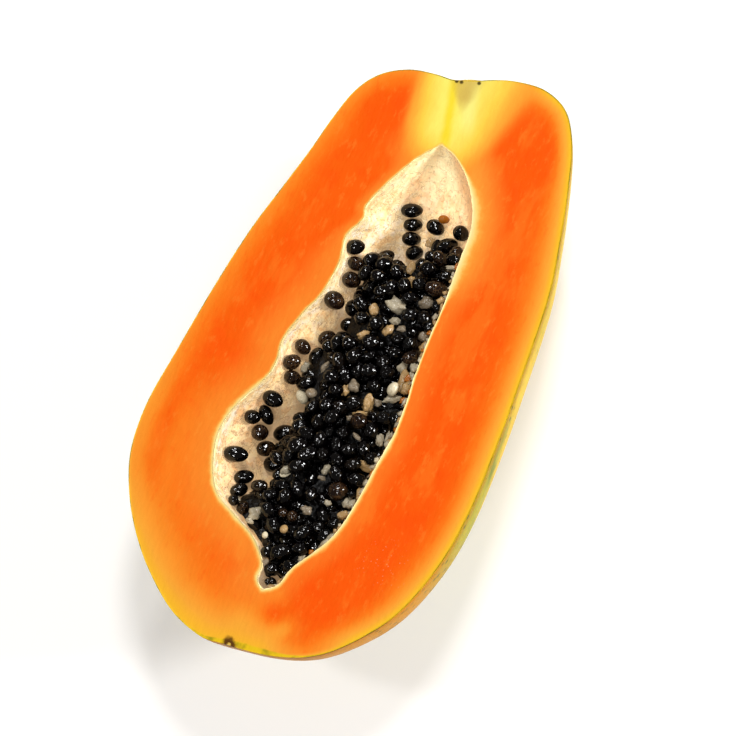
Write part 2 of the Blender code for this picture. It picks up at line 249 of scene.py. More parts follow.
fruit_mesh = bmesh.new()
RIND, FLESH, LINING = 0, 1, 2
lay_grid(fruit_mesh, ROUND_RIND, ALONG, rind_place, RIND)
lay_grid(fruit_mesh, FACE_RINGS, 2 * ALONG, face_place, FLESH)
lay_grid(fruit_mesh, ROUND_HOLLOW, ALONG, hollow_place, LINING)
bmesh.ops.remove_doubles(fruit_mesh, verts=fruit_mesh.verts, dist=1e-5)
bmesh.ops.recalc_face_normals(fruit_mesh, faces=fruit_mesh.faces)
rims = [e for e in fruit_mesh.edges if len({f.material_index for f in e.link_faces}) > 1]
bmesh.ops.bevel(
    fruit_mesh, geom=rims, offset=EDGE_ROUNDING, offset_type="OFFSET", segments=2, profile=0.5,
    affect="EDGES", material=-1, clamp_overlap=True,
)
for vertex in fruit_mesh.verts:
    if all(face.material_index == LINING for face in vertex.link_faces):
        x, y, z = vertex.co
        folds = noise(Vector((x * 420, y * 150, z * 420)))
        folds += 0.6 * noise(Vector((x * 900, y * 500, z * 900)))
        vertex.co += vertex.normal * LINING_FOLDS * folds
    elif all(face.material_index == FLESH for face in vertex.link_faces):
        vertex.co.z -= FACE_DIPS * (1 + noise(vertex.co * 120))


class Wire:
    """A socket of a material's nodes. Sums written with it become Math nodes."""

    def __init__(self, tree, socket=None):
        self.tree, self.socket = tree, socket

    def node(self, kind, settings=None, sockets=None, output=0):
        made = self.tree.nodes.new(kind)
        for name, value in (settings or {}).items():
            if name == "stops":
                while len(made.color_ramp.elements) < len(value):
                    made.color_ramp.elements.new(1.0)
                for element, (place, colour) in zip(made.color_ramp.elements, value):
                    element.position, element.color = place, colour
            else:
                setattr(made, name, value)
        for name, value in (sockets or {}).items():
            self.feed(made.inputs[name], value)
        return Wire(self.tree, made.outputs[output])

    def feed(self, socket, value):
        if isinstance(value, Wire):
            self.tree.links.new(value.socket, socket)
        else:
            socket.default_value = value

    def maths(self, operation, *values):
        return self.node("ShaderNodeMath", {"operation": operation}, dict(enumerate(values)))

    def __add__(self, other):
        return self.maths("ADD", self, other)

    def __sub__(self, other):
        return self.maths("SUBTRACT", self, other)

    def __rsub__(self, other):
        return self.maths("SUBTRACT", other, self)

    def __mul__(self, other):
        return self.maths("MULTIPLY", self, other)

    def __truediv__(self, other):
        return self.maths("DIVIDE", self, other)

    __radd__, __rmul__ = __add__, __mul__

    def size(self):
        return self.maths("ABSOLUTE", self)

    def rise(self, low, high):
        """0 below low, 1 above high and smooth between them."""
        settings = {"interpolation_type": "SMOOTHSTEP"}
        return self.node("ShaderNodeMapRange", settings, {0: self, 1: low, 2: high})

    def between(self, under, over):
        """Two colours mixed by this value."""
        return self.node("ShaderNodeMix", {"data_type": "RGBA"}, {0: self, 6: under, 7: over}, 2)

    def ramp(self, *stops):
        return self.node("ShaderNodeValToRGB", {"stops": stops}, {0: self})


class Finish:
    """A material with its shader, and the values that its nodes start from."""

    def __init__(self, name, **constant):
        self.material = bpy.data.materials.new(name)
        self.material.use_nodes = True
        self.shader = self.material.node_tree.nodes["Principled BSDF"]
        self.wire = Wire(self.material.node_tree)
        self.place = self.wire.node("ShaderNodeTexCoord", output=3)
        for name, value in constant.items():
            socket = name.replace("_", " ").title().replace("Ior", "IOR")
            self.shader.inputs[socket].default_value = value

    def axes(self):
        split = self.wire.node("ShaderNodeSeparateXYZ", sockets={0: self.place})
        return [Wire(split.tree, split.socket.node.outputs[i]) for i in range(3)]

    def away_from(self, x, y):
        """How far the surface is from a place at the height of the cut face, in metres."""
        sockets = {0: self.place, 1: FACE_MIDDLE + Vector((x, y, 0))}
        return self.wire.node("ShaderNodeVectorMath", {"operation": "DISTANCE"}, sockets, output=1)

    def written(self, name):
        return self.wire.node("ShaderNodeAttribute", {"attribute_name": name}, output=2)

    def stretched(self, x, y, z):
        return self.wire.node("ShaderNodeMapping", sockets={0: self.place, "Scale": (x, y, z)})

    def grain(self, scale, detail=2.0, roughness=0.5, at=None):
        sockets = {"Vector": at or self.place, "Scale": scale, "Detail": detail, "Roughness": roughness}
        return self.wire.node("ShaderNodeTexNoise", sockets=sockets)

    def specks(self, scale, at=None, feature="F1"):
        sockets = {"Vector": at or self.place, "Scale": scale}
        return self.wire.node("ShaderNodeTexVoronoi", {"feature": feature}, sockets)

    def paint(self, socket, value):
        self.wire.feed(self.shader.inputs[socket], value)

    def relief(self, height, depth):
        sockets = {"Strength": 1.0, "Distance": depth, "Height": height}
        self.paint("Normal", self.wire.node("ShaderNodeBump", sockets=sockets))


LIGHT_ON_FACE, LIGHT_IN_HOLLOW = 1.57, 1.24


def shade(red, green, blue, light=LIGHT_ON_FACE):
    """The colour of a surface that shows these picture values, 0 to 255, under its light."""
    values = [value / 255 for value in (red, green, blue)]
    seen = [v / 12.92 if v < 0.0404 else ((v + 0.055) / 1.055) ** 2.4 for v in values]
    return (*(min(0.99, c / light) for c in seen), 1.0)


BLOSSOM_BUTTON = (0.0023, -0.0887)


def with_button(finish, colour):
    """The dried scar of the blossom: a pale middle in a brown ring."""
    away = finish.away_from(*BLOSSOM_BUTTON) + 0.0022 * (finish.grain(480, 4.0, 0.65) - 0.5)
    ring = away.rise(0.0004, 0.0009) * (1 - away.rise(0.0012, 0.0026))
    colour = ring.between(colour, shade(96, 60, 18))
    return ((1 - away.rise(0.0003, 0.0009)) * 0.7).between(colour, shade(214, 184, 116))


def rind_finish():
    """Ripe yellow skin, mottled with green, with fine grey-green specks and a waxy gloss."""
    rind = Finish("rind", specular_ior_level=0.05, coat_weight=0.03, coat_roughness=0.25)
    x, y, z = rind.axes()
    below = (FACE_MIDDLE.z - z) * 1000
    streaked = rind.stretched(1.0, 0.45, 1.0)
    green = rind.grain(38, 4.0, 0.6, at=streaked).rise(0.38, 0.64)
    colour = green.between(shade(242, 194, 32, 1.4), shade(172, 166, 30, 1.4))
    blotch = rind.grain(120, 3.0, 0.6, at=streaked).rise(0.54, 0.70) * green
    colour = (blotch * 0.8).between(colour, shade(96, 118, 34, 1.4))
    to_right = x.rise(-0.010, 0.015)
    strip = (1 - (below + 1.6 * (rind.grain(300, 3.0) - 0.5)).rise(1.0, 4.5)) * 0.85
    # On the right, where the right lamp falls strongly, the strip is painted darker than on the left:
    # painted shade that offsets that light.
    colour = (strip * to_right).between(colour, shade(226, 170, 12, 2.35))
    colour = (strip * (1 - to_right)).between(colour, shade(242, 194, 32, 1.4))
    blossom = 1 - (y + (x + 0.01) * -0.5).rise(-0.088, -0.062)
    colour = (blossom * (0.75 - 0.45 * below.rise(8, 26))).between(colour, shade(232, 142, 10, 1.55))
    clusters = rind.grain(55, 2.0).rise(0.42, 0.60)
    dots = (1 - rind.specks(420, at=rind.stretched(1.0, 0.7, 1.0)).rise(0.12, 0.32)) * clusters
    colour = (dots * 0.85).between(colour, shade(58, 84, 48, 1.4))
    fine = (1 - rind.specks(900).rise(0.08, 0.26)) * rind.grain(90).rise(0.42, 0.58)
    colour = (fine * 0.6).between(colour, shade(88, 88, 40, 1.4))
    colour = (rind.grain(700, 3.0, 0.6).rise(0.5, 0.75) * 0.25).between(colour, shade(120, 118, 30, 1.4))
    ledge = (1 - below.rise(0.3, 0.9)) * x.rise(0.020, 0.026) * (1 - y.rise(-0.069, -0.064))
    colour = (ledge * 0.8).between(colour, shade(112, 76, 18))
    rind.paint("Base Color", with_button(rind, colour))
    rind.paint("Roughness", 0.34 + 0.16 * rind.grain(260, 2.0))
    pores = 1 - rind.specks(420).rise(0.1, 0.3)
    rind.relief(rind.grain(500, 3.0) * 0.5 + pores * 0.2, 0.00025)
    return rind.material


def flesh_finish():
    """Soft moist flesh: yellow under the skin, orange in its thickness, cream at the lining."""
    flesh = Finish("flesh", specular_ior_level=0.03)
    x, y, _ = flesh.axes()
    ripe = flesh.written("ripe")
    broad = flesh.grain(45, 3.0, 0.5)
    cloud = flesh.grain(140, 4.0, 0.55)
    reach = ripe * (0.78 + 0.26 * broad + 0.18 * cloud)
    colour = (reach / 16).ramp(
        (0.0, shade(254, 208, 44)), (0.06, shade(252, 186, 44)), (0.125, shade(252, 170, 54)),
        (0.19, shade(254, 157, 48)), (0.28, shade(253, 140, 36)), (0.38, shade(253, 120, 22)),
        (0.56, shade(252, 99, 8)), (0.80, shade(253, 90, 4)),
    )
    streaks = flesh.grain(190, 4.0, 0.6, at=flesh.stretched(1.0, 0.3, 1.0))
    deep = (broad * 0.5 + cloud * 0.5).rise(0.50, 0.66) * reach.rise(4, 12)
    colour = (deep * 0.40).between(colour, shade(254, 76, 2))
    strands = flesh.grain(520, 4.0, 0.7, at=flesh.stretched(1.0, 0.4, 1.0))
    light_strands, dark_strands = strands.rise(0.54, 0.68), 1 - strands.rise(0.34, 0.46)
    colour = (light_strands * reach.rise(2, 6) * 0.26).between(colour, shade(255, 148, 50))
    colour = (dark_strands * reach.rise(2, 6) * 0.24).between(colour, shade(252, 80, 4))
    peach = (1 - (broad * 0.45 + streaks * 0.55).rise(0.38, 0.50)) * reach.rise(3, 9)
    colour = (peach * 0.40).between(colour, shade(254, 130, 34))
    glow = flesh.written("glow") * (0.7 + 0.6 * (0.5 * cloud + 0.5 * streaks))
    colour = glow.between(colour, shade(254, 172, 62))

    across = x + 0.0051 - (0.0791 - y) * 0.26
    spread = 0.0088 + (y - 0.066) * (0.40 * across.rise(-0.003, 0.003) - 0.06)
    fan = (1 - (across.size() / spread).rise(0.2, 1.9)) * y.rise(0.050, 0.070)
    fan = fan * (0.7 + 0.6 * (0.4 * cloud + 0.6 * streaks))
    yellow = fan.ramp(
        (0.0, shade(253, 132, 34)), (0.35, shade(254, 172, 56)), (0.62, shade(253, 210, 74)),
        (1.0, shade(254, 238, 108)),
    )
    colour = fan.rise(0.0, 0.30).between(colour, yellow)
    pale = (1 - (across - 0.0055).size().rise(0.0005, 0.0035)) * y.rise(0.067, 0.075)
    colour = (pale * 0.6).between(colour, shade(254, 246, 142))
    from_streak = across.size() + 0.0014 * (cloud - 0.5)
    streak = (1 - from_streak.rise(0.0002, 0.0024)) * y.rise(0.058, 0.068)
    colour = (streak * 0.8).between(colour, shade(249, 218, 24))
    wedge = 0.0026 + (y - 0.079) * 0.45
    from_scar = (across - 0.0032).size() + 0.002 * (cloud - 0.5)
    scar = (1 - (from_scar / wedge).rise(0.3, 1.3)) * y.rise(0.0735, 0.0800)
    colour = (scar * 0.9 * (0.6 + 0.8 * streaks)).between(colour, shade(212, 178, 84))

    # Tiny pale specks on the face near its lower right: painted glints of moisture.
    painted_glints = (1 - flesh.specks(1300).rise(0.10, 0.26)) * flesh.grain(700, 2.0).rise(0.48, 0.56)
    painted_glints = painted_glints * (1 - flesh.away_from(0.033, -0.053).rise(0.003, 0.010))
    colour = (painted_glints * 0.6).between(colour, shade(255, 176, 128))

    skin = flesh.written("skin") + 0.5 * (cloud - 0.5)
    green = cloud.rise(0.45, 0.60).between(shade(236, 196, 26), shade(150, 142, 24))
    colour = (skin.rise(0.15, 0.45) * 0.9).between(colour, green)
    edge = flesh.written("lip") * (0.4 + 1.2 * flesh.grain(330, 4.0, 0.6))
    cream = edge.ramp(
        (0.0, shade(255, 232, 166)), (0.5, shade(254, 216, 122)), (1.0, shade(254, 182, 76)),
    )
    colour = (1 - edge.rise(0.3, 1.6)).between(colour, cream)
    colour = with_button(flesh, colour)
    for stem_bit in ((-0.0044, 0.0838), (0.0005, 0.0852), (-0.0058, 0.0836)):
        near_bit = 1 - flesh.away_from(*stem_bit).rise(0.0003, 0.0008)
        colour = (near_bit * 0.9).between(colour, shade(44, 28, 14))
    flesh.paint("Base Color", colour)
    flesh.paint("Roughness", 0.42 + 0.2 * flesh.grain(600, 2.0))
    fibres = flesh.grain(900, 3.0, 0.6, at=flesh.stretched(1.0, 0.35, 1.0))
    flesh.relief(fibres * 0.5 + flesh.grain(260, 2.0) * 0.5, 0.00022)
    return flesh.material


def lining_finish():
    """The pale fibrous skin of the hollow, wrinkled where seeds were attached, with a faint warm
    emission: painted light that lifts its shaded walls.
    """
    # The warm emission is painted light: it brightens the lining where the hollow is in shade.
    lining = Finish(
        "lining", specular_ior_level=0.2, emission_color=(1.0, 0.64, 0.34, 1), emission_strength=0.22,
    )
    x, y, z = lining.axes()
    below = (FACE_MIDDLE.z - z) * 1000
    fibres = lining.grain(380, 4.0, 0.65, at=lining.stretched(1.0, 0.25, 1.0))
    wrinkles = lining.grain(520, 5.0, 0.7)
    patches = lining.grain(130, 3.0, 0.6)
    tan, sand = shade(210, 146, 84, LIGHT_IN_HOLLOW), shade(246, 204, 140, LIGHT_IN_HOLLOW)
    cream, ivory = shade(255, 234, 184, LIGHT_IN_HOLLOW), shade(255, 250, 230, LIGHT_IN_HOLLOW)
    mottled = wrinkles * 0.45 + fibres * 0.25 + patches * 0.3
    colour = mottled.ramp((0.35, tan), (0.43, sand), (0.50, cream), (0.57, ivory))
    # Deeper below the cut face the lining turns tan in patches: painted warm shade laid over its own
    # patchy tan.
    deep_tan_shade = below.rise(1.5, 7.0) * (1 - 0.65 * y.rise(-0.010, 0.030))
    deep_tan_shade = deep_tan_shade * (patches * 0.5 + wrinkles * 0.5).rise(0.40, 0.58)
    colour = (deep_tan_shade * 0.75).between(colour, shade(222, 166, 98, LIGHT_IN_HOLLOW))
    stains = lining.grain(270, 4.0, 0.65).rise(0.53, 0.62) * (1 - y.rise(-0.010, 0.040) * 0.7)
    colour = (stains * 0.6).between(colour, shade(222, 150, 82, LIGHT_IN_HOLLOW))
    waves = lining.grain(230, 4.0, 0.6, at=lining.stretched(1.0, 0.6, 1.0))
    creases = 1 - (waves - 0.5).size().rise(0.003, 0.030)
    pits = lining.grain(900, 4.0, 0.7).rise(0.56, 0.70)
    creased = creases * wrinkles.rise(0.44, 0.58) * (0.55 - 0.5 * y.rise(0.010, 0.040))
    colour = creased.between(colour, shade(176, 120, 62, LIGHT_IN_HOLLOW))
    colour = (pits * 0.4).between(colour, shade(186, 132, 74, LIGHT_IN_HOLLOW))
    shaded_wall = x.rise(0.002, 0.015) * below.rise(0.3, 3.0) * y.rise(0.016, 0.034)
    colour = (shaded_wall * 0.7).between(colour, fibres.rise(0.35, 0.6).between(tan, sand))
    # Towards the stem end of the hollow the lining is painted brighter, most at the tip, where little
    # light reaches: painted light.
    lines = lining.grain(700, 3.0, 0.6, at=lining.stretched(1.0, 0.12, 1.0))
    tip = (0.35 * fibres + 0.65 * lines).rise(0.38, 0.60).between(
        shade(240, 184, 128, 0.95), shade(255, 228, 178, 0.95),
    )
    colour = (y.rise(0.034, 0.056) * 0.75).between(colour, tip)
    colour = (y.rise(0.052, 0.062) * 0.6).between(colour, shade(254, 216, 160, 0.55))
    # A tan band down the right wall below the tip: painted shade of that wall.
    right_wall_shade = (x + (y - 0.051) * 0.75).rise(0.0085, 0.0115) * y.rise(0.030, 0.040)
    right_wall_shade = right_wall_shade * (0.6 + 0.6 * wrinkles)
    colour = (right_wall_shade * 0.7).between(colour, shade(236, 166, 100, LIGHT_IN_HOLLOW))
    # At the blossom end of the hollow the lining is painted near-black, more so below the cut face:
    # painted shade in that narrow end.
    wet = (1 - y.rise(-0.066, -0.060)) * below.rise(0.2, 1.6)
    colour = (wet * 0.85).between(colour, shade(58, 34, 18, LIGHT_IN_HOLLOW))
    rim = 1 - (below + 1.6 * (wrinkles - 0.5)).rise(0.3, 3.0)
    colour = (rim * (1 - wet) * 0.75).between(colour, shade(254, 230, 162, 0.98))
    lining.paint("Base Color", colour)
    lining.paint("Roughness", 0.40 + 0.2 * fibres)
    lining.relief(wrinkles * 0.4 + fibres * 0.3 - creases * 0.2 - pits * 0.3, 0.0007)
    return lining.material


def finish_mesh(name, mesh, *materials):
    data = bpy.data.meshes.new(name)
    mesh.to_mesh(data)
    mesh.free()
    made = move_in(name, data)
    for material in materials:
        data.materials.append(material)
    return made


def write_on(made, name, values):
    layer = made.data.attributes.new(name, "FLOAT", "POINT")
    layer.data.foreach_set("value", np.asarray(values, dtype=np.float32))


OUTLINE_STEPS = 260


def millimetres_to(points, lines):
    """How far each point of the face is from an outline, in millimetres."""
    outline = [lines[0].at(s) for s in np.linspace(0, 1, OUTLINE_STEPS)]
    outline += [lines[1].at(s) for s in np.linspace(1, 0, OUTLINE_STEPS)]
    start = np.array(outline)
    run = np.roll(start, -1, axis=0) - start
    away = points[:, None, :] - start[None]
    share = np.clip((away * run).sum(-1) / np.maximum((run * run).sum(-1), 1e-12), 0, 1)
    return 1000 * np.linalg.norm(away - share[..., None] * run[None], axis=-1).min(axis=1)


def smooth(values, low, high):
    share = np.clip((values - low) / (high - low), 0, 1)
    return share * share * (3 - 2 * share)


fruit = finish_mesh("papaya_fruit", fruit_mesh, rind_finish(), flesh_finish(), lining_finish())
on_face = np.unique([i for f in fruit.data.polygons if f.material_index == FLESH for i in f.vertices])
spots = np.array([v.co[:] for v in fruit.data.vertices])[:, :2] - np.array(FACE_MIDDLE[:2])
x_face, y_face = spots[on_face].T
from_rind = millimetres_to(spots[on_face], rind_lines)
from_hollow = millimetres_to(spots[on_face], hollow_lines)
# The flesh is red nearly up to the skin on the left, paler towards the blossom end and round the hollow
at_blossom = 1 - smooth(y_face, -0.074, -0.048)
low_left = 1 - smooth(y_face, -0.036, -0.010)
shift = 0.012 * at_blossom + 0.006 * (1 - smooth(y_face, -0.084, -0.076))
right_side = smooth(x_face - shift, -0.008, 0.008)
left_ripe = 3.9 + np.minimum(0.62 * from_rind, 6.5)
low_ripe = 2.4 + 1.0 * smooth(from_rind, 0.1, 1.2) + 0.19 * from_rind
low_ripe += 3.4 * np.exp(-((from_rind - 7) / 2.6) ** 2) * smooth(y_face, -0.066, -0.046)
left_ripe = left_ripe * (1 - low_left) + low_ripe * low_left
bottom = 1 - smooth(y_face, -0.086, -0.074)
left_ripe = left_ripe * (1 - at_blossom) + (0.9 + 0.40 * from_rind) * (1 - 0.3 * bottom) * at_blossom
ripe = left_ripe * (1 - right_side) + 1.05 * from_rind * right_side
ripe = np.maximum(ripe, 0) + bottom * right_side * 4.5 * smooth(from_rind, 0.0, 1.2)
for x_spot, y_spot, spread, riper in (
    (0.023, 0.071, 0.010, 7), (-0.021, 0.067, 0.008, 4), (0.012, 0.074, 0.006, -4),
    (0.034, -0.030, 0.012, 2), (-0.028, 0.015, 0.014, 2), (0.023, -0.060, 0.009, 5),
    (0.024, -0.069, 0.005, 4), (0.0105, -0.0755, 0.003, 3.5), (0.021, -0.081, 0.004, 2),
    (0.011, -0.0705, 0.0045, -5), (0.015, -0.0780, 0.0035, -4.5), (0.003, -0.080, 0.004, -1),
):
    near_spot = np.exp(-((x_face - x_spot) ** 2 + (y_face - y_spot) ** 2) / spread**2)
    ripe += riper * near_spot * smooth(from_rind, 2, 7)
# A pale glow and a cream lip run round the hollow, strongest at its upper right
on_right = smooth(x_face, -0.004, 0.008)
high, tip = smooth(y_face, 0.018, 0.034), smooth(y_face, 0.052, 0.062)
glow_width = (8 + 4 * high) * on_right + (14 - 10 * high * (1 - tip)) * (1 - on_right)
glow = 0.42 * (1 - on_right) + (0.3 + 0.45 * high) * on_right
glow = (1 - smooth(from_hollow, 0.5, glow_width)) * glow
low = 1 - smooth(y_face, -0.024, -0.008)
lip_width = 0.65 + on_right * (2.0 * high * (1 - tip) - 0.20 + 0.55 * low) + 0.6 * low * (1 - on_right)
green_end = np.exp(-((x_face - 0.007) / 0.012) ** 2) * (1 - smooth(y_face, -0.084, -0.070))
skin_width = 0.3 + 2.2 * green_end
for name, values in (
    ("ripe", ripe), ("glow", glow),
    ("lip", from_hollow / lip_width), ("skin", 1 - from_rind / skin_width),
):
    everywhere = np.zeros(len(spots))
    everywhere[on_face] = values
    write_on(fruit, name, everywhere)
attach(fruit, "root")
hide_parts("papaya_flesh")


# The seeds that lie apart on the bare lining. Each is a plump egg in a thin wet skin, 5 to 7 mm
# long. They are placed where the photograph shows them: across, down, length, width and turn.
PICTURE_SIZE, PICTURE_PIXELS_PER_METRE = 736, 3620
LINING_SEEDS = (
    (412, 210.5, 23, 15, 0), (413, 225, 20, 14, 0), (411.5, 239, 20, 15, -5),
    (414.5, 253, 19, 15, 15), (435.5, 227.5, 20, 16, -35), (461, 233.5, 18, 16, -40),
    (447, 246.5, 24, 17, 20), (437, 249, 20, 13, 80), (355.5, 247, 20, 16, 10),
    (386, 257, 19, 14, 25), (369, 264, 14, 13, 0), (365, 293, 20, 14, -35), (354, 308, 19, 18, 30),
    (349, 325, 18, 15, 0), (317.5, 357.5, 21, 18, 75), (313, 377, 24, 17, -10),
    (273, 399, 22, 17, -25), (252.5, 417, 17, 15, -10), (266.5, 415, 22, 14, -65),
    (284.5, 433, 24, 17, 12), (280, 449, 14, 14, 0), (275, 463.5, 24, 18, 8),
    (236, 454, 25.5, 17, -8), (244, 477, 21, 15, 10), (239, 490, 19, 14, 20), (234, 500, 12, 12, 0),
    (259, 497, 22, 17, 5), (255, 524, 18, 14, -30),
)
LINING_SEEDS_BROWN = (
    (456, 255, 19, 17, 70), (357, 264, 20, 15, -20), (351.5, 280, 20, 17, -20),
    (334.5, 300.5, 22, 19, -30), (327, 338, 19, 15, 25), (303, 347, 18, 15, -45),
    (292, 362, 19, 16, 20), (292.5, 377.5, 18, 15, -15), (260, 432.5, 18, 17, 0),
    (266, 448.5, 20, 16, 10), (243, 508, 15, 13, 60),
)
LENS_IN_PIXELS = PICTURE_SIZE * CAMERA_LENS / SENSOR_WIDTH
camera_turn = camera.matrix_world.to_3x3()
camera_place = camera.matrix_world.translation
fruit_tree = BVHTree.FromObject(fruit, bpy.context.evaluated_depsgraph_get())


def look_through(across, down):
    """The line of sight through a place in the picture."""
    middle = PICTURE_SIZE / 2
    return (camera_turn @ Vector((across - middle, middle - down, -LENS_IN_PIXELS))).normalized()


def on_lining(across, down, thickness):
    """Where the middle of a seed lies that rests on the lining and is seen at a place in the picture."""
    look = look_through(across, down)
    hit, normal = fruit_tree.ray_cast(camera_place, look)[:2]
    return hit - look * (0.40 * thickness / max(0.45, -look.dot(normal)))


def egg(mesh, place, sizes, lie, tone, segments=10, rings=6, torn=0.0):
    """Adds one seed or bit: sizes are its length, width and thickness, and torn makes it ragged."""
    written = mesh.verts.layers.float.get("tone") or mesh.verts.layers.float.new("tone")
    made = bmesh.ops.create_uvsphere(mesh, u_segments=segments, v_segments=rings, radius=0.5)["verts"]
    for vertex in made:
        vertex[written] = tone
        vertex.co.xy *= 1 - 0.14 * vertex.co.z
        rough = noise(vertex.co * 2.6 + Vector(place) * 900)
        rough += 0.6 * noise(vertex.co * 6 + Vector(place) * 700)
        vertex.co *= 1 + torn * rough
    stand = Matrix.Rotation(math.pi / 2, 3, "Y")
    bmesh.ops.rotate(mesh, verts=made, matrix=stand)
    bmesh.ops.scale(mesh, verts=made, vec=sizes)
    bmesh.ops.rotate(mesh, verts=made, matrix=lie)
    bmesh.ops.translate(mesh, verts=made, vec=place)
    for face in {face for vertex in made for face in vertex.link_faces}:
        face.smooth = True


def facing(turn, lean=0.0):
    """A seed's lie in the picture: turned from its right, in degrees, and leant out of its plane."""
    in_picture = camera_turn @ Matrix.Rotation(math.radians(turn), 3, "Z")
    return in_picture @ Matrix.Rotation(math.radians(lean), 3, "Y")


def seed_finish():
    """Wet skin, faintly wrinkled: black, or brown with a paler net where it is thin."""
    seed = Finish("seed_skin", specular_ior_level=0.38)
    tint = seed.written("tone")
    colour = tint.ramp((0.0, shade(2, 1, 2)), (0.5, shade(6, 3, 2)), (1.0, shade(30, 15, 8)))
    threads = seed.specks(1000, at=seed.stretched(1.0, 0.7, 1.3), feature="DISTANCE_TO_EDGE")
    net = (1 - threads.rise(0.02, 0.14)) * tint.rise(0.4, 0.8) * seed.grain(420).rise(0.36, 0.56)
    colour = (net * 0.3).between(colour, shade(132, 96, 60))
    seed.paint("Base Color", colour)
    seed.paint("Roughness", 0.02 + 0.08 * seed.grain(900))
    seed.relief(seed.grain(560, 2.0, 0.5), 0.00042)
    return seed.material


seed_skin = seed_finish()
rng = random.Random(3)
lining_seed_mesh = bmesh.new()
taken = []
for table_of_seeds, brown in ((LINING_SEEDS, 0.0), (LINING_SEEDS_BROWN, 0.65)):
    for across, down, length, width, turn in table_of_seeds:
        length, width = length / PICTURE_PIXELS_PER_METRE, width / PICTURE_PIXELS_PER_METRE
        place = on_lining(across, down, width)
        taken.append(place)
        sizes, lie = (length, width, width * 0.95), facing(turn, rng.uniform(-12, 12))
        tone = brown + rng.uniform(0, 0.35)
        egg(lining_seed_mesh, place, sizes, lie, tone, segments=16, rings=10)
lining_seeds = finish_mesh("lining_seeds", lining_seed_mesh, seed_skin)
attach(lining_seeds, "root")
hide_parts("papaya_flesh")


# The body of the heap. A wet pulp, painted near-black as the shade of the deep gaps between the seeds,
# fills the hollow under the seeds and shows only in those gaps. It is one uneven layer from wall to wall
# that sinks towards the stem end.
HEAP_LEFT = (
    (-0.075, -0.010), (-0.058, -0.024), (-0.050, -0.0185), (-0.046, -0.0140), (-0.042, -0.0085),
    (-0.036, -0.0090), (-0.028, -0.0105), (-0.021, -0.0085), (-0.016, -0.0095), (-0.012, -0.0130),
    (-0.004, -0.0140), (0.001, -0.0115), (0.006, -0.0080), (0.013, -0.0085), (0.022, -0.0095),
    (0.028, -0.0090), (0.030, -0.0040), (0.032, 0.0055), (0.036, 0.0090), (0.042, 0.0180),
)
HEAP_DEPTH, HEAP_SHOULDER, HEAP_SHOULDER_DROP, HEAP_FLANK_SLOPE = 0.0038, 0.0080, 0.0036, 3.0
HEAP_UNEVEN, HEAP_LOWEST_SEEN = 0.0009, -0.012
PULP_FROM, PULP_LENGTH, PULP_FLOOR = -0.0700, 0.114, -0.024
PULP_UNDER_SEEDS, PULP_UNEVEN, PULP_SINKS_FROM, PULP_SLOPE = 0.0034, 0.0009, 0.029, 0.35
heap_left_y, heap_left_x = np.array(HEAP_LEFT).T


def heap_left(y):
    return float(np.interp(y, heap_left_y, heap_left_x))


def heap_height(x, y):
    """How high the heap's surface stands at a place, counted from the cut face."""
    inside = x - heap_left(y)
    shoulder = max(0.0, min(1.0, inside / HEAP_SHOULDER))
    height = -HEAP_DEPTH - HEAP_SHOULDER_DROP * (1 - shoulder) ** 2
    height += HEAP_UNEVEN * noise(Vector((x, y, 0)) * 160)
    return height - HEAP_FLANK_SLOPE * max(0.0, -inside)


def pulp_place(along, turn):
    """A place of the pulp between the walls of the hollow, a little under the heap's surface."""
    y = PULP_FROM + PULP_LENGTH * along
    left_x, right_x = (np.interp(y, *np.array(edge)[:, ::-1].T) for edge in (HOLLOW_LEFT, HOLLOW_RIGHT))
    x = left_x + (right_x - left_x) * turn
    sunk = PULP_UNDER_SEEDS - PULP_UNEVEN * noise(Vector((x, y, 3)) * 420)
    sunk += PULP_SLOPE * max(0.0, y - PULP_SINKS_FROM)
    return FACE_MIDDLE + Vector((x, y, max(heap_height(x, y) - sunk, PULP_FLOOR)))


def pulp_finish():
    """Dark juice and pulp, wet in places, painted near-black: partly its own colour, partly painted
    shade of the gaps.
    """
    pulp = Finish("pulp_in_gap_shade", specular_ior_level=0.2)
    colour = pulp.grain(230, 3.0, 0.6).ramp((0.45, shade(4, 3, 3)), (0.75, shade(18, 12, 9)))
    pulp.paint("Base Color", colour)
    pulp.paint("Roughness", 0.25 + 0.3 * pulp.grain(600))
    pulp.relief(pulp.grain(500, 3.0), 0.0012)
    return pulp.material


PULP_ACROSS, PULP_ALONG = 54, 118

pulp_mesh = bmesh.new()
lay_grid(pulp_mesh, PULP_ACROSS, PULP_ALONG, pulp_place, 0)
pulp = finish_mesh("heap_pulp", pulp_mesh, pulp_finish())
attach(pulp, "root")
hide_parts("seed_heap")


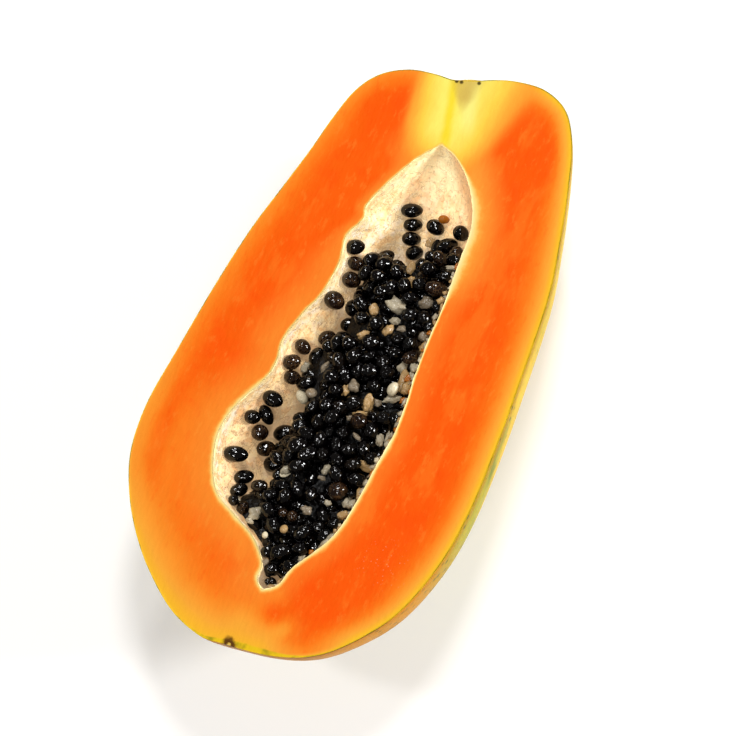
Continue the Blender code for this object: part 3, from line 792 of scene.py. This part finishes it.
# The pale seeds and shreds of pulp in the heap: undeveloped white seeds, and soft bits of the lining
# that came loose with the seeds, cream, grey, tan or amber. They lie on the pulp among the black
# seeds.
CREAM, DULL, GREY, TAN, AMBER = 0.0, 0.17, 0.34, 0.67, 1.0
PALE_SEEDS = (
    (302, 397, 16, 11, -65, CREAM), (393, 389, 15, 11, 60, CREAM), (311.5, 393, 12, 10, 0, GREY),
    (444, 219.5, 12, 9, -10, AMBER), (265, 535, 7, 6, 80, CREAM), (284, 529, 9, 8, 60, TAN),
)
PALE_SHREDS = (
    (397, 305, 19, 14, -20, DULL), (395, 321, 10, 8, 0, DULL), (388, 330, 12, 8, 50, TAN),
    (402, 329, 9, 6, -10, GREY), (426, 303, 13, 11, 20, GREY), (363, 335, 13, 7, 25, TAN),
    (424, 337, 12, 9, 45, GREY), (424, 348, 13, 9, 60, TAN), (354, 386, 12, 11, 90, GREY),
    (345, 390, 11, 8, 70, TAN), (403, 367, 12, 8, 60, DULL), (409, 379, 10, 8, 30, AMBER),
    (393, 399, 18, 8, 5, DULL), (406, 388, 13, 9, 70, TAN), (367, 404, 13, 8, 80, TAN),
    (360, 414, 15, 6, 0, TAN), (378, 403, 8, 7, 0, GREY), (350, 418, 7, 5, 0, GREY),
    (357, 437, 11, 5, -45, GREY), (380, 440, 12, 8, 80, DULL), (388, 438, 13, 6, 75, DULL),
    (368, 466, 22, 10, -20, TAN), (326, 470, 12, 7, 60, DULL), (322, 478, 8, 5, -20, GREY),
    (328, 503, 7, 6, 0, DULL), (306, 510, 10, 8, -30, GREY), (255, 513, 13, 11, 30, DULL),
    (343, 515, 12, 8, 20, TAN), (348, 503, 12, 9, 40, DULL), (264, 563, 9, 7, 40, GREY),
    (404, 401, 8, 6, 20, AMBER), (442, 302, 14, 5, 80, DULL), (452, 268, 12, 5, -10, DULL),
    (286, 470, 12, 8, 30, DULL), (305, 367, 12, 8, 60, DULL), (325, 367, 12, 5, 50, GREY),
    (236, 500, 9, 6, 10, DULL), (250, 521, 8, 5, -30, DULL),
)
PALE_MEMBRANES = (
    (374, 309, 11, 10, 80, TAN), (411, 268, 12, 9, 60, TAN), (411, 282, 12, 10, 80, TAN),
    (430, 243, 11, 9, 40, TAN), (404, 382, 22, 13, 70, TAN), (368, 404, 17, 12, 80, TAN),
    (362, 321, 9, 7, 0, CREAM), (286, 472, 14, 8, 30, CREAM),
)


def pale_finish():
    """Soft wet skin with brown stains, from cream through grey and tan to amber by its tone."""
    pale = Finish("pale_pulp", specular_ior_level=0.3)
    tone = pale.written("tone")
    colour = tone.ramp(
        (0.0, shade(234, 220, 186)), (0.30, shade(138, 126, 108)), (0.66, shade(192, 156, 104)),
        (0.95, shade(184, 106, 26)),
    )
    stain = pale.grain(500, 4.0, 0.65).rise(0.52, 0.74)
    colour = (stain * 0.6).between(colour, shade(140, 108, 66))
    pale.paint("Base Color", colour)
    pale.paint("Roughness", 0.15 + 0.2 * pale.grain(600))
    pale.relief(pale.grain(700, 3.0), 0.0004)
    return pale.material


def on_heap(across, down, lift=0.0):
    """Where the line of sight through a place in the picture meets the top of the heap."""
    look = look_through(across, down)
    height = -HEAP_DEPTH
    for _ in range(8):
        place = camera_place + look * ((FACE_MIDDLE.z + height + lift - camera_place.z) / look.z)
        there = max(heap_height(place.x, place.y - FACE_MIDDLE.y), HEAP_LOWEST_SEEN)
        height = 0.5 * height + 0.5 * there
    return place


def in_room(place, room):
    """Moves a place off the lining until it has room for a seed."""
    for _ in range(3):
        hit, normal = fruit_tree.find_nearest(place)[:2]
        short = room - (place - hit).dot(normal)
        if short <= 0:
            break
        place = place + normal * short
    place.z = min(place.z, FACE_MIDDLE.z - 0.0004 - room)
    return place


def picture_place(place):
    """Where a place is seen in the picture, across and down."""
    seen = camera_turn.inverted() @ (place - camera_place)
    middle = PICTURE_SIZE / 2
    return middle - seen.x / seen.z * LENS_IN_PIXELS, middle + seen.y / seen.z * LENS_IN_PIXELS


def keep_under_face(mesh):
    for vertex in mesh.verts:
        vertex.co.z = min(vertex.co.z, FACE_MIDDLE.z - 0.0001)


pale_mesh = bmesh.new()
kept_clear = []
for table_of_bits, torn, thick, lift in (
    (PALE_SEEDS, 0.0, 0.9, 0.0012),
    (PALE_SHREDS, 0.52, 0.6, -0.0005),
    (PALE_MEMBRANES, 0.35, 0.3, -0.0012),
):
    for across, down, length, width, turn, tone in table_of_bits:
        reach = (length + width) / 4
        length, width = length / PICTURE_PIXELS_PER_METRE, width / PICTURE_PIXELS_PER_METRE
        look = look_through(across, down)
        lining_place = on_lining(across, down, width)
        heap_top = in_room(on_heap(across, down, lift), width * 0.3)
        place = max(lining_place, heap_top, key=lambda p: (p - lining_place).dot(-look))
        kept_clear.append((across, down, reach, place.z))
        taken.append(place)
        sizes, lie = (length, width, width * thick), facing(turn, rng.uniform(-12, 12))
        egg(pale_mesh, place, sizes, lie, tone, segments=16, rings=12, torn=torn)
keep_under_face(pale_mesh)
pale_bits = finish_mesh("pale_seeds", pale_mesh, pale_finish())
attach(pale_bits, "root")
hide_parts("seed_heap")


# The torn edge of the lining along the right side of the hollow: short ragged shreds, cream to amber,
# that stand out of the wall just under the cut face.
SHREDS_FROM, SHREDS_TO, SHRED_COUNT = 0.02, 0.74, 78

rim_mesh = bmesh.new()
for index in range(SHRED_COUNT):
    share = SHREDS_FROM + (SHREDS_TO - SHREDS_FROM) * (index + rng.uniform(-0.6, 0.6)) / SHRED_COUNT
    x, y = hollow_lines[0].at(share)
    ahead_x, ahead_y = hollow_lines[0].at(share + 0.01)
    along_edge = math.degrees(math.atan2(ahead_y - y, ahead_x - x))
    much = 0.65 + 0.55 * noise(Vector((share * 22, 0, 0)))
    length, width = rng.uniform(0.0018, 0.0044) * much, rng.uniform(0.0010, 0.0024) * much
    tone = rng.choice((CREAM, DULL, DULL, DULL, GREY, TAN, TAN, AMBER))
    stands_out, under_face = width * rng.uniform(0.2, 0.9), rng.uniform(0.0004, 0.0018) + width * 0.3
    place = FACE_MIDDLE + Vector((x - stands_out, y, -under_face))
    heading = Matrix.Rotation(math.radians(along_edge + rng.uniform(-50, 50)), 3, "Z")
    lie = heading @ Matrix.Rotation(rng.uniform(-0.5, 0.5), 3, "Y")
    egg(rim_mesh, place, (length, width, width * 0.7), lie, tone, segments=12, rings=8, torn=0.5)
keep_under_face(rim_mesh)
rim_shreds = finish_mesh("rim_shreds", rim_mesh, pale_bits.data.materials[0])
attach(rim_shreds, "root")
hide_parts("papaya_flesh")


# The seeds of the heap, wet and glossy, in two layers on the pulp and in four at its open left side.
# Those that the photograph shows apart have their place in it. The others are laid in rows and then
# pushed apart until they lie side by side in the room that is left.
HEAP_SEEDS = (
    (397, 272, 18, 15, -60), (391, 287, 18, 16, 45), (378, 276, 17, 16, 0), (381, 291, 16, 14, 20),
    (404, 285, 16, 15, 80), (376, 323.5, 17, 16, 0), (362, 318, 16, 15, 30), (428, 268, 18, 15, 0),
    (420, 284, 17, 15, 0), (432, 257, 16, 14, 0), (447, 276, 20, 12, 10), (438, 306, 18, 13, 80),
    (411, 315, 18, 16, 10), (425, 319, 18, 16, -20), (432, 327, 15, 12, 60), (350, 343, 18, 16, 0),
    (371, 342, 21, 17, 0), (398, 339, 15, 13, 10), (409, 344, 17, 14, 60), (395, 353, 17, 14, 0),
    (383, 362, 17, 15, 30), (384, 418, 18, 14, -15), (397, 419, 15, 13, 70), (354, 403, 20, 16, 10),
    (336, 390, 16, 14, 0), (331, 377, 18, 16, 10), (300, 426, 18, 16, 20), (298, 446, 24, 21, 10),
    (298, 466, 22, 16, 20), (372, 459, 16, 14, -20), (357, 480, 22, 15, -10), (352, 494, 10, 8, 0),
    (281, 552, 25, 18, 10), (270, 570, 17, 14, -10), (272, 582, 11, 9, -40), (268, 551, 16, 13, 30),
    (264, 572, 12, 9, 70), (267, 583, 9, 7, -40), (300, 549, 18, 15, 0), (325, 536, 18, 14, 30),
    (334, 524, 15, 13, 40), (387, 372, 17, 15, 0),
)
HEAP_SEEDS_BROWN = (
    (437, 289, 26, 17, -15), (412, 357, 22, 14, 20), (359, 421, 18, 17, 0), (338, 491, 21, 19, 20),
    (283, 513, 10, 9, 0), (292, 516, 12, 11, 60),
)
SEED_LENGTH, SEED_WIDTH, SEED_SPACING, SEED_SCATTER = 0.0062, 0.0046, 0.0044, 0.0013
FILL_FROM_X, FILL_FROM_Y, FILL_LENGTH, FILL_COLUMNS = -0.030, -0.0715, 0.121, 13
LAYERS, LAYERS_ALL_OVER, LAYER_DROP, OPEN_SIDE = 4, 2, 0.0030, 0.0065
ROOM_AT_EDGE, ROOM_AT_FIRST, ROOM_AT_LAST, ROOM_AT_LINING = 0.0018, 0.0032, 0.0042, 0.0019
PUSHES, PUSH_SHARE, PUSH_UP = 30, 0.35, 0.4


def bits_behind(place, margin):
    """The heights of the pale bits that a seed at this place would hide in the picture."""
    across, down = picture_place(place)
    return [z for a, d, reach, z in kept_clear if math.hypot(across - a, down - d) < reach + margin]


heap_seed_mesh = bmesh.new()
for table_of_seeds, brown in ((HEAP_SEEDS, 0.0), (HEAP_SEEDS_BROWN, 0.75)):
    for across, down, length, width, turn in table_of_seeds:
        length, width = length / PICTURE_PIXELS_PER_METRE, width / PICTURE_PIXELS_PER_METRE
        place = in_room(on_heap(across, down, 0.0006), width * 0.45)
        taken.append(place)
        lie = facing(turn, rng.uniform(-15, 15))
        egg(heap_seed_mesh, place, (length, width, width), lie, brown + rng.uniform(0, 0.3))

row_step = SEED_SPACING * math.sqrt(3) / 2
loose = []
for layer in range(LAYERS):
    for row in range(int(FILL_LENGTH / row_step)):
        for column in range(FILL_COLUMNS):
            x = FILL_FROM_X + (column + 0.5 * ((row + layer) % 2)) * SEED_SPACING
            x += rng.uniform(-1, 1) * SEED_SCATTER
            y = FILL_FROM_Y + row * row_step + rng.uniform(-1, 1) * SEED_SCATTER
            height = heap_height(x, y) + rng.uniform(-0.0016, 0.0008) - layer * LAYER_DROP
            place = FACE_MIDDLE + Vector((x, y, height))
            wall, normal = fruit_tree.find_nearest(place)[:2]
            inside = x - heap_left(y - 0.0007 * layer) + 0.0009 * layer
            in_layer = layer < LAYERS_ALL_OVER or inside < OPEN_SIDE
            in_hollow = inside > ROOM_AT_EDGE and (place - wall).dot(normal) > 0
            hides = layer == 0 and bits_behind(place, 2)
            apart = min((place - other).length for other in taken)
            if in_layer and in_hollow and apart > ROOM_AT_FIRST and not hides:
                loose.append(place)
here, still = np.array([p[:] for p in loose]), np.array([p[:] for p in taken])
for _ in range(PUSHES):
    apart = here[:, None] - np.vstack((here, still))[None]
    far = np.linalg.norm(apart, axis=2)
    far[np.arange(len(here)), np.arange(len(here))] = 1.0
    push = np.clip(ROOM_AT_LAST - far, 0, None) / np.maximum(far, 1e-6)
    moved = (apart * push[..., None]).sum(axis=1) * PUSH_SHARE
    moved[:, 2] *= PUSH_UP
    here = np.array([in_room(Vector(p), ROOM_AT_LINING)[:] for p in here + moved])
for place in map(Vector, here):
    if any(place.z > z - 0.0016 for z in bits_behind(place, 4)):
        continue
    heading = Matrix.Rotation(rng.uniform(0, math.pi), 3, "Z")
    lie = heading @ Matrix.Rotation(math.radians(rng.uniform(-50, 50)), 3, "Y")
    size = rng.uniform(0.80, 1.0)
    sizes = (SEED_LENGTH * size, SEED_WIDTH * size, SEED_WIDTH * size)
    egg(heap_seed_mesh, place, sizes, lie, rng.random() ** 3 * 0.6)
keep_under_face(heap_seed_mesh)
heap_seeds = finish_mesh("heap_seeds", heap_seed_mesh, seed_skin)
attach(heap_seeds, "root")
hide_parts("seed_heap")
